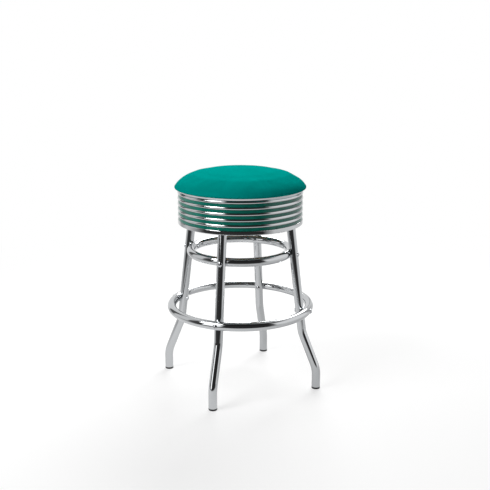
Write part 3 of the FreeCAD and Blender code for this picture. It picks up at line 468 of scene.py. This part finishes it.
def seen_directly(tree):
    """1 for what the camera, a mirror or glass shows, and 0 for what only lights the object."""
    path = add_node(tree, "LightPath", {})
    mirrored = add_node(tree, "Math", {
        0: path.outputs["Is Glossy Ray"], 1: path.outputs["Is Transmission Ray"]}, operation="MAXIMUM")
    either = add_node(tree, "Math", {
        0: path.outputs["Is Camera Ray"], 1: mirrored.outputs[0]}, operation="MAXIMUM")
    return path.outputs["Is Glossy Ray"], either.outputs[0]


world = bpy.data.worlds.new("studio")
scene.world = world
world.use_nodes = True
tree = world.node_tree
tree.nodes.clear()
mirrored, direct = seen_directly(tree)
walls = room_level(tree, add_node(tree, "TexCoord", {}).outputs["Generated"])
plain = add_node(tree, "Background", {"Color": (1, 1, 1, 1), "Strength": 0.1})
white = add_node(tree, "Background", {"Color": (1, 1, 1, 1), "Strength": 1.0})
room_light = add_node(tree, "Background", {"Color": walls, "Strength": 1.0})
shown = add_node(tree, "MixShader", {0: mirrored, 1: white.outputs[0], 2: room_light.outputs[0]})
mixed = add_node(tree, "MixShader", {0: direct, 1: plain.outputs[0], 2: shown.outputs[0]})
add_node(tree, "OutputWorld", {"Surface": mixed.outputs[0]})

shape = bmesh.new()
bmesh.ops.create_grid(shape, x_segments=1, y_segments=1, size=floor_reach)
mesh = bpy.data.meshes.new("studio_floor")
shape.to_mesh(mesh)
shape.free()
floor = bpy.data.objects.new("studio_floor", mesh)
scene.collection.objects.link(floor)
paper = bpy.data.materials.new("white_studio_paper")
paper.use_nodes = True
tree = paper.node_tree
tree.nodes.clear()
mirrored, direct = seen_directly(tree)
place = add_node(tree, "TexCoord", {}).outputs["Object"]
far = add_node(tree, "VectorMath", {0: place}, operation="LENGTH")
beyond = add_node(tree, "MapRange", {
    "Value": far.outputs["Value"], "From Min": 0.55, "From Max": 1.5}, interpolation_type="SMOOTHSTEP")
distant = add_node(tree, "MapRange", {
    "Value": far.outputs["Value"], "From Min": 0.6, "From Max": 2.0}, interpolation_type="SMOOTHSTEP")
matte = add_node(tree, "BsdfDiffuse", {"Color": (0.8, 0.8, 0.8, 1)})
faint = add_node(tree, "BsdfDiffuse", {"Color": (0.42, 0.42, 0.42, 1)})
glow = add_node(tree, "Emission", {"Color": (1, 1, 1, 1), "Strength": 0.64})
camera_floor = add_node(tree, "AddShader", {0: faint.outputs[0], 1: glow.outputs[0]})
plain_white = add_node(tree, "Emission", {"Color": (1, 1, 1, 1), "Strength": 1.0})
camera_view = add_node(tree, "MixShader", {
    0: distant.outputs["Result"], 1: camera_floor.outputs[0], 2: plain_white.outputs[0]})
near_glow = add_node(tree, "Emission", {"Color": level_round(tree, place, near_floor), "Strength": 1.0})
far_glow = add_node(tree, "Emission", {"Color": level_round(tree, place, far_floor), "Strength": 1.0})
mirror_floor = add_node(tree, "MixShader", {
    0: beyond.outputs["Result"], 1: near_glow.outputs[0], 2: far_glow.outputs[0]})
shown = add_node(tree, "MixShader", {0: mirrored, 1: camera_view.outputs[0], 2: mirror_floor.outputs[0]})
mixed = add_node(tree, "MixShader", {0: direct, 1: matte.outputs[0], 2: shown.outputs[0]})
add_node(tree, "OutputMaterial", {"Surface": mixed.outputs[0]})
floor.data.materials.append(paper)


def towards(azimuth, elevation, distance):
    """A place seen from the stool's middle, its azimuth counted from the camera to the right."""
    turn = math.radians(camera_azimuth + azimuth)
    rise = math.radians(elevation)
    direction = Vector((math.sin(turn) * math.cos(rise), -math.cos(turn) * math.cos(rise), math.sin(rise)))
    return direction * distance + stool_middle


def soft_box(name, azimuth, elevation, distance, side, power):
    """A large square lamp that faces the stool."""
    lamp = bpy.data.lights.new(name, "AREA")
    lamp.shape = "RECTANGLE"
    lamp.size = lamp.size_y = side
    lamp.energy = power
    piece = bpy.data.objects.new(name, lamp)
    piece.location = towards(azimuth, elevation, distance)
    piece.rotation_mode = "QUATERNION"
    piece.rotation_quaternion = (piece.location - stool_middle).to_track_quat("Z", "Y")
    scene.collection.objects.link(piece)


soft_box("key_soft_box", -58, 46, 2.4, 1.0, 30)
soft_box("back_soft_box", 165, 40, 2.6, 1.6, 71)

camera_distance = 2.315
camera_height = 1.0013
camera_pitch = 13.99
camera = bpy.data.objects.new("camera", bpy.data.cameras.new("camera"))
camera.data.sensor_width = 36.0
camera.data.lens = 58.72
camera.data.shift_x = 0.0095
camera.location = (math.sin(camera_turn) * camera_distance, -math.cos(camera_turn) * camera_distance,
                   camera_height)
camera.rotation_euler = (math.radians(90 - camera_pitch), 0, camera_turn)
camera.data.clip_end = 100
scene.collection.objects.link(camera)
scene.camera = camera
